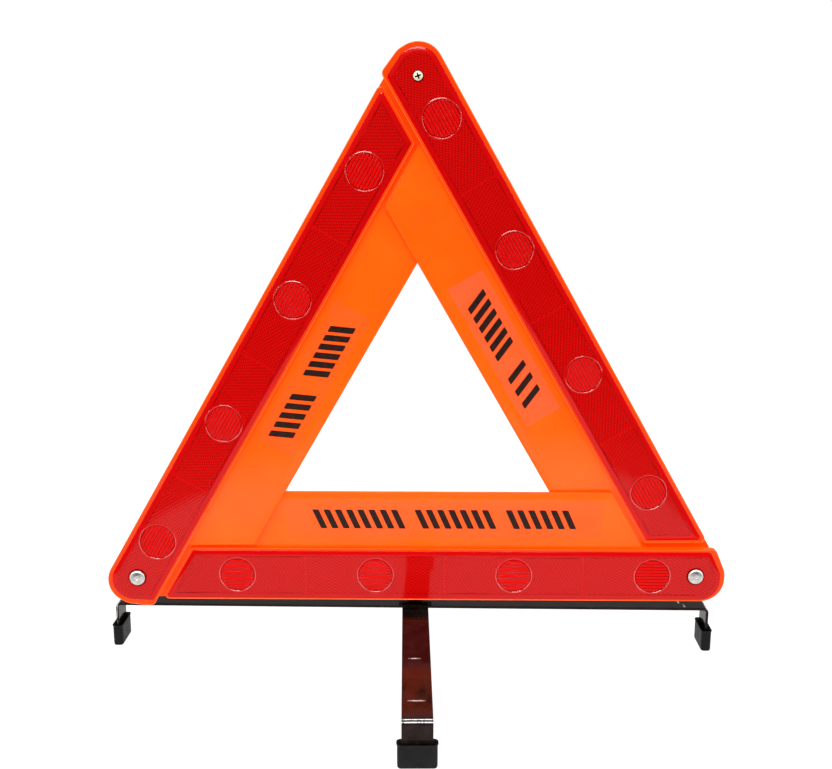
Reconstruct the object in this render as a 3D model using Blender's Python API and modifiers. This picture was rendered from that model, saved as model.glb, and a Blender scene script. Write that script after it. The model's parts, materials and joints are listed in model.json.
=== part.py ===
"""Folding roadside warning triangle on a crossed steel stand.

Three like arms (a housing with a lens box and a flat panel, and a red lens) are woven
head over tail round the triangle. The bottom arm is bracketed to a long steel bar, and a
shorter cross strip swivels under the bar on the same rivet. All four strip ends are bent
down into rubber feet.

Metres, +Z up, front towards -Y. The origin is on the ground, on the axis of the central
rivet, which is also the middle of the whole outline. An arm is drawn in its own frame: x runs from its head pivot to its tail pivot, y
points to the inside of the triangle, and z points to the back, so that its front faces
have negative z. A "front" number below is a height over the arm's back plane.
"""

import math

import bmesh
import bpy
from mathutils import Matrix, Vector

MM = 0.001
GAP = 0.3 * MM                       # clearance between neighbouring pieces
STEPS = 24                           # facets round a turned piece
ARC_STEP = math.radians(7.5)         # facet angle of large rounded outlines
SMALL_ARC_STEP = math.radians(22.5)  # and of corners under SMALL_ARC
SMALL_ARC = 5 * MM

# Arms
PIVOT_PITCH = 400 * MM               # head pivot to tail pivot, along the arm
WEAVE = 7.0 * MM                     # how far a head stands in front of the next tail
OUTER_EDGE = 19.5 * MM               # pivot line to the outer edge of the lens box
INNER_EDGE = 20.0 * MM               # pivot line to the inner edge of the lens box
PANEL_EDGE = 61.2 * MM               # pivot line to the edge of the central opening
BOX_FRONT = 6.0 * MM
PANEL_BACK = 0.2 * MM
PANEL_FRONT = 2.0 * MM
POCKET_FLOOR = 2.6 * MM
RIM = 2.8 * MM                       # width of the housing's rim round the lens
BOX_END = 22.8 * MM                  # slanted end of the box, from the next arm's pivot line
PANEL_HEAD_END = 22.6 * MM           # slanted end of the panel, from the last arm's pivot line
PANEL_TAIL_END = 8.0 * MM            # the panel runs on under the next arm up to here
TAIL_RADIUS = 19.2 * MM
TAIL_BOSS_RADIUS = 8.0 * MM
TAIL_BOSS_FRONT = 6.5 * MM
HEAD_END = 21.2 * MM                 # pivot to the far end of the head
HEAD_ROUND = 17.0 * MM               # big round corner of the head
HEAD_CORNER = 14.0 * MM              # pivot to the head's inner corner, along the arm
ARM_ANGLE = math.radians(60)

# Lenses
LENS_BACK = 2.9 * MM
LENS_FRONT = 5.5 * MM
DISC_FRONT = 5.85 * MM
DISC_RADIUS = 13.0 * MM
DISC_FIRST = 31.0 * MM
DISC_PITCH = 99.4 * MM
DISC_COUNT = 4

# Label films on the panels, along and across the arm
FILM_THICKNESS = 0.25 * MM
SHORT_FILM = (131.5 * MM, 244.0 * MM, 25.0 * MM, 52.5 * MM)
LONG_FILM = (67.5 * MM, 293.5 * MM, 27.0 * MM, 54.0 * MM)

# Fasteners
RIVET_RADIUS = 2.4 * MM
RIVET_HEAD_RADIUS = 6.0 * MM
RIVET_HEAD_HEIGHT = 2.2 * MM
SCREW_RADIUS = 1.9 * MM
SCREW_HEAD_RADIUS = 3.9 * MM
SCREW_HEAD_HEIGHT = 2.2 * MM
WASHER_RADIUS = 5.5 * MM
WASHER_THICKNESS = 0.8 * MM
NUT_RADIUS = 4.05 * MM
NUT_HEIGHT = 3.2 * MM

# Stand
PIVOT_HEIGHT = 57.6 * MM             # ground to the two bottom pivots
TRIANGLE_X = 1.2 * MM                # middle of the triangle, from the central rivet
TRIANGLE_Y = -10.0 * MM              # middle of the triangle's thickness
STRIP_WIDTH = 19.0 * MM
STRIP_THICKNESS = 2.0 * MM
BEND_RADIUS = 1.8 * MM               # inside of a bend
BAR_DROP = 25.1 * MM                 # bottom pivots to the top face of the bar
BAR_LEFT = 219.1 * MM                # central rivet to the outer face of a bent end
BAR_RIGHT = 213.0 * MM
CROSS_HALF = 168.5 * MM
BAR_YAW = math.radians(-1.6)         # the stand is turned a little under the triangle
BRACKET_THICKNESS = 1.5 * MM
BRACKET_WIDTH = 24.0 * MM
BRACKET_TOP = -2.0 * MM              # top of the bracket, from the bottom pivots
BRACKET_DEPTH = 14.0 * MM
CENTRE_RIVET_RADIUS = 2.6 * MM
CENTRE_HEAD_RADIUS = 4.5 * MM
CENTRE_HEAD_HEIGHT = 1.8 * MM
SPACER_RADIUS = 5.2 * MM
BRACKET_SCREW_X = 7.0 * MM
BRACKET_SCREW_Z = -10.0 * MM         # from the bottom pivots
BRACKET_SCREW_RADIUS = 1.4 * MM

# Rubber feet
FOOT_LENGTH = 23.6 * MM
FOOT_THICKNESS = 6.6 * MM
FOOT_HEIGHT = 15.5 * MM
FOOT_FLOOR = 2.2 * MM
FOOT_LIP = 0.7 * MM
FOOT_LIP_HEIGHT = 2.2 * MM

TILT = math.asin(WEAVE / PIVOT_PITCH)
SIDE = PIVOT_PITCH * math.cos(TILT)
LEFT_PIVOT = Vector((TRIANGLE_X - SIDE / 2, TRIANGLE_Y, PIVOT_HEIGHT))
RIGHT_PIVOT = Vector((TRIANGLE_X + SIDE / 2, TRIANGLE_Y, PIVOT_HEIGHT))
TOP_PIVOT = Vector((TRIANGLE_X, TRIANGLE_Y, PIVOT_HEIGHT + SIDE * math.sin(ARM_ANGLE)))

BAR_TOP = PIVOT_HEIGHT - BAR_DROP
CROSS_TOP = BAR_TOP - STRIP_THICKNESS - GAP
BRACKET_FLANGE_TOP = PIVOT_HEIGHT - 19.6 * MM
BRACKET_FLANGE_BOTTOM = BRACKET_FLANGE_TOP - BRACKET_THICKNESS

ORANGE = ((1.0, 0.13, 0.004, 1), 0.38, 0.0)
RED = ((0.72, 0.006, 0.006, 1), 0.12, 0.0)
FILM = ((1.0, 0.25, 0.06, 1), 0.2, 0.0)
ALUMINIUM = ((0.78, 0.78, 0.76, 1), 0.3, 1.0)
ZINC = ((0.85, 0.78, 0.55, 1), 0.35, 1.0)
BLACK_STEEL = ((0.015, 0.014, 0.014, 1), 0.25, 0.4)
RUBBER = ((0.012, 0.012, 0.012, 1), 0.7, 0.0)


# ---------------------------------------------------------------- scene helpers

def clear_scene():
    for obj in list(bpy.data.objects):
        bpy.data.objects.remove(obj, do_unlink=True)


def new_collection(name):
    collection = bpy.data.collections.new(name)
    bpy.context.scene.collection.children.link(collection)
    return collection


def make_material(name, look):
    colour, roughness, metallic = look
    material = bpy.data.materials.new(name)
    material.use_nodes = True
    shader = material.node_tree.nodes["Principled BSDF"]
    shader.inputs["Base Color"].default_value = colour
    shader.inputs["Roughness"].default_value = roughness
    shader.inputs["Metallic"].default_value = metallic
    return material


def make_object(name, mesh, parent=None, look=None):
    obj = bpy.data.objects.new(name, mesh)
    is_tool = look is None
    (TOOLS if is_tool else PARTS).objects.link(obj)
    if is_tool:
        obj.hide_render = True
        obj.display_type = "WIRE"
    else:
        mesh.materials.clear()
        mesh.materials.append(make_material(name, look))
    obj.parent = parent
    return obj


def make_empty(name, matrix, parent=None):
    empty = bpy.data.objects.new(name, None)
    TOOLS.objects.link(empty)
    empty.parent = parent
    place(empty, matrix)
    return empty


def place(obj, matrix):
    """Puts an object at a place in the world, whatever its parent."""
    bpy.context.view_layer.update()
    obj.matrix_world = matrix
    bpy.context.view_layer.update()


def boolean(obj, tool, operation):
    modifier = obj.modifiers.new(tool.name, "BOOLEAN")
    modifier.operation = operation
    modifier.solver = "EXACT"
    modifier.object = tool


def smooth(mesh, angle=30):
    mesh.shade_smooth()
    mesh.set_sharp_from_angle(angle=math.radians(angle))


# ---------------------------------------------------------------- outlines

def line_cross(p, u, q, v):
    """The point where the line through p along u meets the line through q along v."""
    det = u.x * v.y - u.y * v.x
    t = ((q.x - p.x) * v.y - (q.y - p.y) * v.x) / det
    return p + u * t


def inset_corners(corners, inset):
    """The corners of an anticlockwise outline whose sides are all moved inwards by inset."""
    count = len(corners)
    sides = []
    for i in range(count):
        start = Vector(corners[i][:2])
        along = (Vector(corners[(i + 1) % count][:2]) - start).normalized()
        sides.append((start + Vector((-along.y, along.x)) * inset, along))
    moved = []
    for i in range(count):
        point = line_cross(*sides[i - 1], *sides[i])
        moved.append((point.x, point.y, max(corners[i][2] - inset, 0.0004)))
    return moved


def rounded(corners, inset=0.0):
    """Outline points from (x, y, corner radius) corners, each corner an arc."""
    if inset:
        corners = inset_corners(corners, inset)
    count = len(corners)
    points = []
    for i, (x, y, radius) in enumerate(corners):
        corner = Vector((x, y))
        back = (Vector(corners[i - 1][:2]) - corner).normalized()
        on = (Vector(corners[(i + 1) % count][:2]) - corner).normalized()
        half = back.angle(on) / 2
        centre = corner + (back + on).normalized() * (radius / math.sin(half))
        start = corner + back * (radius / math.tan(half)) - centre
        turn = math.pi - 2 * half
        if back.x * on.y - back.y * on.x > 0:
            turn = -turn
        facet = ARC_STEP if radius > SMALL_ARC else SMALL_ARC_STEP
        steps = max(1, round(abs(turn) / facet))
        for k in range(steps + 1):
            points.append(centre + Matrix.Rotation(turn * k / steps, 2) @ start)
    return points


def rectangle(x0, x1, y0, y1, radius):
    return [(x0, y0, radius), (x1, y0, radius), (x1, y1, radius), (x0, y1, radius)]


def slab(name, points, low, high, parent=None, look=None, flip=None):
    """A flat outline in x and y, filled and extruded from z = low to z = high."""
    curve = bpy.data.curves.new(name, "CURVE")
    curve.dimensions = "2D"
    curve.fill_mode = "BOTH"
    curve.extrude = (high - low) / 2
    spline = curve.splines.new("POLY")
    spline.points.add(len(points) - 1)
    for slot, point in zip(spline.points, points):
        slot.co = (point[0], point[1], 0, 1)
    spline.use_cyclic_u = True
    drawn = bpy.data.objects.new(name + "_outline", curve)
    TOOLS.objects.link(drawn)
    bpy.context.view_layer.update()
    depsgraph = bpy.context.evaluated_depsgraph_get()
    mesh = bpy.data.meshes.new_from_object(drawn.evaluated_get(depsgraph))
    bpy.data.objects.remove(drawn, do_unlink=True)
    mesh.name = name
    bm = bmesh.new()
    bm.from_mesh(mesh)
    bmesh.ops.remove_doubles(bm, verts=bm.verts, dist=0.00001)
    bmesh.ops.translate(bm, verts=bm.verts, vec=(0, 0, (low + high) / 2))
    if flip:
        bmesh.ops.transform(bm, matrix=flip, verts=bm.verts)
    bmesh.ops.recalc_face_normals(bm, faces=bm.faces)
    bm.to_mesh(mesh)
    bm.free()
    smooth(mesh)
    return make_object(name, mesh, parent, look)


def cylinder(name, x, y, radius, low, high, parent=None, segments=STEPS):
    mesh = bpy.data.meshes.new(name)
    bm = bmesh.new()
    bmesh.ops.create_cone(
        bm, cap_ends=True, segments=segments, radius1=radius, radius2=radius,
        depth=high - low, matrix=Matrix.Translation((x, y, (low + high) / 2)))
    bm.to_mesh(mesh)
    bm.free()
    return make_object(name, mesh, parent)


def turned(name, profile, matrix, parent, look, closed=False):
    """A turned piece: (radius, z) points run down the outer side, spun about z."""
    mesh = bpy.data.meshes.new(name)
    bm = bmesh.new()
    verts = [bm.verts.new((radius, 0, z)) for radius, z in profile]
    for first, second in zip(verts, verts[1:]):
        bm.edges.new((first, second))
    if closed:
        bm.edges.new((verts[-1], verts[0]))
    bm.to_mesh(mesh)
    bm.free()
    obj = make_object(name, mesh, parent, look)
    screw = obj.modifiers.new("turn", "SCREW")
    screw.steps = STEPS
    screw.render_steps = STEPS
    screw.use_merge_vertices = True
    screw.merge_threshold = 0.00001
    screw.use_smooth_shade = True
    place(obj, matrix)
    return obj


def dome(radius, height, base, steps=5):
    """Profile of a domed head from its crown down to its edge, above z = base."""
    edge = 0.5 * MM
    rise = height - edge
    points = []
    for k in range(steps + 1):
        angle = math.pi / 2 * k / steps
        points.append((radius * math.sin(angle), base + edge + rise * math.cos(angle)))
    return points + [(radius, base)]


def washer_profile(inner, outer, low, high):
    return [(inner, high), (outer, high), (outer, low), (inner, low)]


# ---------------------------------------------------------------- arm

def arm_matrix(head, tail):
    """The frame of an arm: x to the tail, y inwards, z to the back, leaning head forwards."""
    flat = (tail - head).normalized()
    back = Vector((0, 1, 0))
    x = flat * math.cos(TILT) + back * math.sin(TILT)
    y = back.cross(flat)
    z = x.cross(y)
    matrix = Matrix((x, y, z)).transposed().to_4x4()
    matrix.translation = head + back * (BOX_FRONT - WEAVE) / 2
    return matrix


def slanted(distance, y):
    """How far along the arm a line at 60 degrees runs, at height y, from the pivot it passes."""
    return distance / math.sin(ARM_ANGLE) + y / math.tan(ARM_ANGLE)


def box_corners():
    outer = -OUTER_EDGE
    end = PIVOT_PITCH
    return [
        (-HEAD_END, outer, HEAD_ROUND),
        (end - slanted(BOX_END, outer), outer, 3.2 * MM),
        (end - slanted(BOX_END, INNER_EDGE), INNER_EDGE, 3.2 * MM),
        (-HEAD_CORNER, INNER_EDGE, 4.5 * MM),
        (-HEAD_END, 3.0 * MM, 14.0 * MM),
    ]


def panel_outline():
    """The panel's plate: it starts inside the lens box and ends in the round tail tongue."""
    hidden = INNER_EDGE - 6 * MM
    tip_angle = math.radians(210) - math.acos(PANEL_TAIL_END / TAIL_RADIUS)
    first = -math.pi / 2
    steps = round((tip_angle - first) / ARC_STEP)
    points = [Vector((8 * MM, -TAIL_RADIUS)), Vector((PIVOT_PITCH - 40 * MM, -TAIL_RADIUS))]
    for k in range(steps + 1):
        angle = first + (tip_angle - first) * k / steps
        points.append(Vector((PIVOT_PITCH + TAIL_RADIUS * math.cos(angle),
                              TAIL_RADIUS * math.sin(angle))))
    edge = PANEL_EDGE
    corners = [
        (PIVOT_PITCH - slanted(PANEL_TAIL_END, hidden), hidden, 1 * MM),
        (PIVOT_PITCH - slanted(PANEL_TAIL_END, edge), edge, 3 * MM),
        (slanted(PANEL_HEAD_END, edge), edge, 4 * MM),
        (slanted(PANEL_HEAD_END, hidden), hidden, 1 * MM),
    ]
    points += [point for point in rounded(corners) if point.y > hidden + 5 * MM]
    points += [Vector((slanted(PANEL_HEAD_END, hidden), hidden)), Vector((8 * MM, hidden))]
    return points


def mouth_outline():
    """The open seat in the left arm's tail, which lets the top screw out sideways."""
    seat = SCREW_RADIUS + GAP
    reach = 30 * MM
    points = []
    steps = 12
    for k in range(steps + 1):
        angle = math.radians(180) + math.radians(120) * k / steps
        points.append(Vector((PIVOT_PITCH + seat * math.cos(angle), seat * math.sin(angle))))
    out = math.radians(30)
    last = points[-1]
    points.append(last + Vector((math.cos(out), math.sin(out))) * reach)
    points.append(points[0] + Vector((0, 1)) * reach)
    return points


def make_housing(name, frame, open_tail=False, bracket_holes=False):
    body = slab(name, rounded(box_corners()), -BOX_FRONT, 0, frame, ORANGE)
    panel = slab(name + "_panel", panel_outline(), -PANEL_FRONT, -PANEL_BACK, frame)
    boss = cylinder(name + "_boss", PIVOT_PITCH, 0, TAIL_BOSS_RADIUS,
                    -TAIL_BOSS_FRONT, -1 * MM, frame)
    pocket = slab(name + "_pocket", rounded(box_corners(), RIM),
                  -BOX_FRONT - 1 * MM, -POCKET_FLOOR, frame)
    head_hole = cylinder(name + "_head_hole", 0, 0, RIVET_RADIUS + 0.5 * MM,
                         -BOX_FRONT, 1 * MM, frame)
    boolean(body, panel, "UNION")
    boolean(body, boss, "UNION")
    boolean(body, pocket, "DIFFERENCE")
    boolean(body, head_hole, "DIFFERENCE")
    if open_tail:
        mouth = slab(name + "_mouth", mouth_outline(), -BOX_FRONT - 2 * MM, 1 * MM, frame)
        boolean(body, mouth, "DIFFERENCE")
    else:
        tail_hole = cylinder(name + "_tail_hole", PIVOT_PITCH, 0, RIVET_RADIUS + 0.5 * MM,
                             -TAIL_BOSS_FRONT - 1 * MM, 1 * MM, frame)
        boolean(body, tail_hole, "DIFFERENCE")
    if bracket_holes:
        middle = PIVOT_PITCH / 2 + TRIANGLE_X
        for side in (-1, 1):
            hole = cylinder(f"{name}_screw_hole_{side}", middle + side * BRACKET_SCREW_X,
                            BRACKET_SCREW_Z, BRACKET_SCREW_RADIUS + GAP,
                            -POCKET_FLOOR - 1 * MM, 1 * MM, frame, 16)
            boolean(body, hole, "DIFFERENCE")
    return body


def make_lens(name, frame):
    inset = RIM + GAP
    body = slab(name, rounded(box_corners(), inset), -LENS_FRONT, -LENS_BACK, frame, RED)
    for k in range(DISC_COUNT):
        disc = cylinder(f"{name}_disc_{k}", DISC_FIRST + k * DISC_PITCH, 0, DISC_RADIUS,
                        -DISC_FRONT, -LENS_BACK - 1 * MM, frame, 32)
        boolean(body, disc, "UNION")
    hole = cylinder(name + "_hole", 0, 0, RIVET_RADIUS + 0.6 * MM, -BOX_FRONT - 1 * MM, 0, frame)
    boolean(body, hole, "DIFFERENCE")
    return body


def make_film(name, frame, size):
    outline = rounded(rectangle(*size, 0.5 * MM))
    back = PANEL_FRONT + GAP
    return slab(name, outline, -back - FILM_THICKNESS, -back, frame, FILM)


# ---------------------------------------------------------------- fasteners

def along_y(point):
    """A frame at point whose z axis looks to the front."""
    matrix = Matrix.Rotation(math.radians(90), 4, "X")
    matrix.translation = point
    return matrix


def make_corner_rivet(name, pivot, parent):
    """A blind rivet: domed head in front, formed end behind the washer."""
    lens = WEAVE / 2 - BOX_FRONT / 2 + LENS_FRONT
    base = lens + GAP + 0.15 * MM
    back = -(WEAVE / 2 + BOX_FRONT / 2)
    washer_back = back - 2 * GAP - WASHER_THICKNESS
    crown = dome(RIVET_HEAD_RADIUS, RIVET_HEAD_HEIGHT, base)
    dimple = [(0, base + RIVET_HEAD_HEIGHT - 0.6 * MM), (1.1 * MM, base + RIVET_HEAD_HEIGHT - 0.5 * MM)]
    profile = dimple + crown[1:] + [
        (RIVET_RADIUS, base),
        (RIVET_RADIUS, washer_back - GAP),
        (3.6 * MM, washer_back - GAP - 0.4 * MM),
        (3.6 * MM, washer_back - 2.4 * MM),
        (2.2 * MM, washer_back - 3.4 * MM),
        (0, washer_back - 3.4 * MM),
    ]
    turned(name, profile, along_y(pivot), parent, ALUMINIUM)
    ring = washer_profile(RIVET_RADIUS + GAP, WASHER_RADIUS, washer_back, washer_back + WASHER_THICKNESS)
    turned(name + "_washer", ring, along_y(pivot), parent, ALUMINIUM, closed=True)


def make_top_screw(pivot, parent):
    """The cross-recessed screw, with its washer and nut behind the left arm's tail."""
    base = WEAVE / 2 - BOX_FRONT / 2 + LENS_FRONT + GAP + 0.15 * MM
    back = -(WEAVE / 2 + BOX_FRONT / 2)
    washer_back = back - 2 * GAP - WASHER_THICKNESS
    nut_back = washer_back - GAP - NUT_HEIGHT
    profile = dome(SCREW_HEAD_RADIUS, SCREW_HEAD_HEIGHT, base) + [
        (SCREW_RADIUS, base),
        (SCREW_RADIUS, nut_back - 1.2 * MM),
        (SCREW_RADIUS - 0.4 * MM, nut_back - 1.6 * MM),
        (0, nut_back - 1.6 * MM),
    ]
    frame = along_y(pivot)
    screw = turned("top_screw", profile, frame, parent, ZINC)
    top = base + SCREW_HEAD_HEIGHT
    for k, (half_x, half_y) in enumerate(((2.3 * MM, 0.4 * MM), (0.4 * MM, 2.3 * MM))):
        outline = rounded(rectangle(-half_x, half_x, -half_y, half_y, 0.2 * MM))
        slot = slab(f"top_screw_slot_{k}", outline, top - 1.1 * MM, top + 1 * MM)
        place(slot, frame)
        boolean(screw, slot, "DIFFERENCE")
    ring = washer_profile(SCREW_RADIUS + GAP, WASHER_RADIUS - 0.5 * MM,
                          washer_back, washer_back + WASHER_THICKNESS)
    turned("top_screw_washer", ring, frame, parent, ZINC, closed=True)
    nut_mesh = bpy.data.meshes.new("top_screw_nut")
    bm = bmesh.new()
    bmesh.ops.create_cone(
        bm, cap_ends=True, segments=6, radius1=NUT_RADIUS, radius2=NUT_RADIUS, depth=NUT_HEIGHT,
        matrix=Matrix.Translation((0, 0, nut_back + NUT_HEIGHT / 2)))
    bm.to_mesh(nut_mesh)
    bm.free()
    nut = make_object("top_screw_nut", nut_mesh, parent, ZINC)
    place(nut, frame)
    bore = cylinder("top_screw_nut_bore", 0, 0, SCREW_RADIUS + GAP, nut_back - 1 * MM,
                    nut_back + NUT_HEIGHT + 1 * MM)
    place(bore, frame)
    boolean(nut, bore, "DIFFERENCE")


# ---------------------------------------------------------------- stand

def strip_outline(left, right, top):
    """Side view of a strip with both ends bent down to just over the feet's floor."""
    low = FOOT_FLOOR + GAP
    outside = BEND_RADIUS + STRIP_THICKNESS
    inner_left = left - STRIP_THICKNESS
    inner_right = right - STRIP_THICKNESS
    under = top - STRIP_THICKNESS
    flat = 0.0001
    return rounded([
        (-left, low, flat), (-inner_left, low, flat), (-inner_left, under, BEND_RADIUS),
        (inner_right, under, BEND_RADIUS), (inner_right, low, flat), (right, low, flat),
        (right, top, outside), (-left, top, outside),
    ])


def make_strip(name, left, right, top, yaw, parent):
    upright = Matrix.Rotation(math.radians(90), 4, "X")
    strip = slab(name, strip_outline(left, right, top), -STRIP_WIDTH / 2, STRIP_WIDTH / 2,
                 parent, BLACK_STEEL, flip=upright)
    place(strip, Matrix.Rotation(yaw, 4, "Z"))
    hole = cylinder(name + "_hole", 0, 0, CENTRE_RIVET_RADIUS + GAP,
                    top - 2 * STRIP_THICKNESS, top + 1 * MM)
    boolean(strip, hole, "DIFFERENCE")


def make_foot(name, reach, yaw, parent):
    """A rubber cap with a lip, standing on the ground, with a pocket for the strip's end."""
    centre = reach - STRIP_THICKNESS / 2
    x, y = FOOT_THICKNESS / 2, FOOT_LENGTH / 2
    cap = slab(name, rounded(rectangle(-x, x, -y, y, 2 * MM)), 0, FOOT_HEIGHT, parent, RUBBER)
    place(cap, Matrix.Rotation(yaw, 4, "Z") @ Matrix.Translation((centre, 0, 0)))
    lip_x, lip_y = x + FOOT_LIP, y + FOOT_LIP
    lip = slab(name + "_lip", rounded(rectangle(-lip_x, lip_x, -lip_y, lip_y, 2 * MM)),
               FOOT_HEIGHT - FOOT_LIP_HEIGHT, FOOT_HEIGHT + 0.2 * MM, cap)
    in_x, in_y = STRIP_THICKNESS / 2 + GAP, STRIP_WIDTH / 2 + GAP
    pocket = slab(name + "_pocket", rounded(rectangle(-in_x, in_x, -in_y, in_y, 0.3 * MM)),
                  FOOT_FLOOR, FOOT_HEIGHT + 2 * MM, cap)
    boolean(cap, lip, "UNION")
    boolean(cap, pocket, "DIFFERENCE")


def make_bracket(parent):
    """An L bracket: one flange behind the bottom arm, the other over the stand."""
    turn = Matrix.Rotation(-TILT, 4, "Z")
    arm_back = TRIANGLE_Y + BOX_FRONT / 2
    front = arm_back + GAP
    rear = front + BRACKET_DEPTH
    top = PIVOT_HEIGHT + BRACKET_TOP
    inside = 1.2 * MM
    outline = rounded([
        (front, BRACKET_FLANGE_BOTTOM, inside + BRACKET_THICKNESS),
        (rear, BRACKET_FLANGE_BOTTOM, 0.2 * MM),
        (rear, BRACKET_FLANGE_TOP, 0.2 * MM),
        (front + BRACKET_THICKNESS, BRACKET_FLANGE_TOP, inside),
        (front + BRACKET_THICKNESS, top, 0.2 * MM),
        (front, top, 0.2 * MM),
    ])
    swap = Matrix(((0, 0, 1, 0), (1, 0, 0, 0), (0, 1, 0, 0), (0, 0, 0, 1)))
    bracket = slab("bracket", outline, -BRACKET_WIDTH / 2, BRACKET_WIDTH / 2,
                   parent, BLACK_STEEL, flip=turn @ swap)
    place(bracket, Matrix.Identity(4))
    hole = cylinder("bracket_hole", 0, 0, CENTRE_RIVET_RADIUS + GAP,
                    BRACKET_FLANGE_BOTTOM - 1 * MM, BRACKET_FLANGE_TOP + 1 * MM)
    boolean(bracket, hole, "DIFFERENCE")
    flange_back = front + BRACKET_THICKNESS
    for side, word in ((-1, "left"), (1, "right")):
        seat = turn @ Vector((side * BRACKET_SCREW_X, flange_back + GAP,
                              PIVOT_HEIGHT + BRACKET_SCREW_Z))
        rear_view = turn @ Matrix.Rotation(math.radians(-90), 4, "X")
        rear_view.translation = seat
        bore = cylinder(f"bracket_screw_{word}_bore", 0, 0, BRACKET_SCREW_RADIUS + GAP,
                        -BRACKET_THICKNESS - 1 * MM, 1 * MM, None, 16)
        place(bore, rear_view)
        boolean(bracket, bore, "DIFFERENCE")
        depth = -(2 * GAP + BRACKET_THICKNESS + POCKET_FLOOR - 0.4 * MM)
        profile = dome(3.0 * MM, 1.8 * MM, 0, 4) + [
            (BRACKET_SCREW_RADIUS, 0), (BRACKET_SCREW_RADIUS, depth), (0, depth)]
        turned(f"bracket_screw_{word}", profile, rear_view, parent, BLACK_STEEL)


def make_centre_rivet(parent):
    base = BRACKET_FLANGE_TOP + GAP
    bottom = CROSS_TOP - STRIP_THICKNESS - GAP
    foot = bottom - CENTRE_HEAD_HEIGHT
    profile = dome(CENTRE_HEAD_RADIUS, CENTRE_HEAD_HEIGHT, base) + [
        (CENTRE_RIVET_RADIUS, base),
        (CENTRE_RIVET_RADIUS, bottom),
        (CENTRE_HEAD_RADIUS, bottom),
        (CENTRE_HEAD_RADIUS * 0.9, bottom - 0.7 * CENTRE_HEAD_HEIGHT),
        (CENTRE_HEAD_RADIUS * 0.5, foot),
        (0, foot),
    ]
    turned("centre_rivet", profile, Matrix.Identity(4), parent, BLACK_STEEL)
    ring = washer_profile(CENTRE_RIVET_RADIUS + GAP, SPACER_RADIUS,
                          BAR_TOP + GAP, BRACKET_FLANGE_BOTTOM - GAP)
    turned("centre_spacer", ring, Matrix.Identity(4), parent, BLACK_STEEL, closed=True)


# ---------------------------------------------------------------- assembly

def build():
    stand = make_empty("stand", Matrix.Identity(4))
    cross_pivot = make_empty("cross_pivot", Matrix.Translation((0, 0, CROSS_TOP)), stand)
    swivel = make_empty("triangle_swivel", Matrix.Translation((0, 0, BRACKET_FLANGE_BOTTOM)), stand)
    left_hinge = make_empty("left_hinge", Matrix.Translation(LEFT_PIVOT), swivel)
    right_hinge = make_empty("right_hinge", Matrix.Translation(RIGHT_PIVOT), swivel)

    bottom = make_empty("bottom_frame", arm_matrix(RIGHT_PIVOT, LEFT_PIVOT), swivel)
    left = make_empty("left_frame", arm_matrix(LEFT_PIVOT, TOP_PIVOT), left_hinge)
    right = make_empty("right_frame", arm_matrix(TOP_PIVOT, RIGHT_PIVOT), right_hinge)

    make_housing("bottom_housing", bottom, bracket_holes=True)
    make_housing("left_housing", left, open_tail=True)
    make_housing("right_housing", right)
    make_lens("bottom_lens", bottom)
    make_lens("left_lens", left)
    make_lens("right_lens", right)
    make_film("bottom_label", bottom, LONG_FILM)
    make_film("left_label", left, SHORT_FILM)
    make_film("right_label", right, SHORT_FILM)

    make_corner_rivet("left_rivet", LEFT_PIVOT, swivel)
    make_corner_rivet("right_rivet", RIGHT_PIVOT, swivel)
    make_top_screw(TOP_PIVOT, right_hinge)

    make_bracket(swivel)
    make_centre_rivet(stand)
    quarter = math.pi / 2
    make_strip("bar", BAR_LEFT, BAR_RIGHT, BAR_TOP, BAR_YAW, stand)
    make_strip("cross_strip", CROSS_HALF, CROSS_HALF, CROSS_TOP, quarter, cross_pivot)
    make_foot("bar_foot_right", BAR_RIGHT, BAR_YAW, stand)
    make_foot("bar_foot_left", BAR_LEFT, BAR_YAW + 2 * quarter, stand)
    make_foot("cross_foot_front", CROSS_HALF, -quarter, cross_pivot)
    make_foot("cross_foot_back", CROSS_HALF, quarter, cross_pivot)


clear_scene()
PARTS = new_collection("warning_triangle")
TOOLS = new_collection("cutters")
build()
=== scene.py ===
"""Looks of a folding roadside warning triangle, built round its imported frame.

An arm is drawn in its own frame: x runs from its head pivot to its tail pivot, y points to
the inside of the triangle and z to the back, so that its front faces have negative z.
"Front" numbers are heights over the arm's back plane. Lengths are metres unless they end
in MM, and the arm's own sizes are given in millimetres times MM.
"""

import json
import math

import bmesh
import bpy
from mathutils import Matrix, Vector
from mathutils.geometry import delaunay_2d_cdt


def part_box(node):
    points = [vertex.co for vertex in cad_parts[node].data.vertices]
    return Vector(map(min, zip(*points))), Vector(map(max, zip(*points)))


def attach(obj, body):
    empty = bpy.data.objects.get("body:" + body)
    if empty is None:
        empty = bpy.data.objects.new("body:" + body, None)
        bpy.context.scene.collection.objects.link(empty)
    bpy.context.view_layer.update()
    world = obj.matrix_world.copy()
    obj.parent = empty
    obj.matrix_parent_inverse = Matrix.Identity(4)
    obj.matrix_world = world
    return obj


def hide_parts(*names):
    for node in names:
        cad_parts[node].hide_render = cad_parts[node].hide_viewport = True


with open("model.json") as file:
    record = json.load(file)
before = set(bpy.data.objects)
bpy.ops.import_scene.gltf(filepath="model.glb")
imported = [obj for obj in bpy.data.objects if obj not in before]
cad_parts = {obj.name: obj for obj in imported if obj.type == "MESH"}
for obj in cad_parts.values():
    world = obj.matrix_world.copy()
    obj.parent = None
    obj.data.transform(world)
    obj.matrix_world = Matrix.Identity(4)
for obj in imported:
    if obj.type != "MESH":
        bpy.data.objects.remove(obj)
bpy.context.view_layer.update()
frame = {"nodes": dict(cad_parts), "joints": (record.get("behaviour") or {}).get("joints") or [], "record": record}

MM = 0.001
ARM_ANGLE = math.radians(60)
SHARP_ANGLE = 38  # degrees between faces from which an edge is drawn sharp
WELD = 1e-7  # points closer than this are one point
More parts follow.
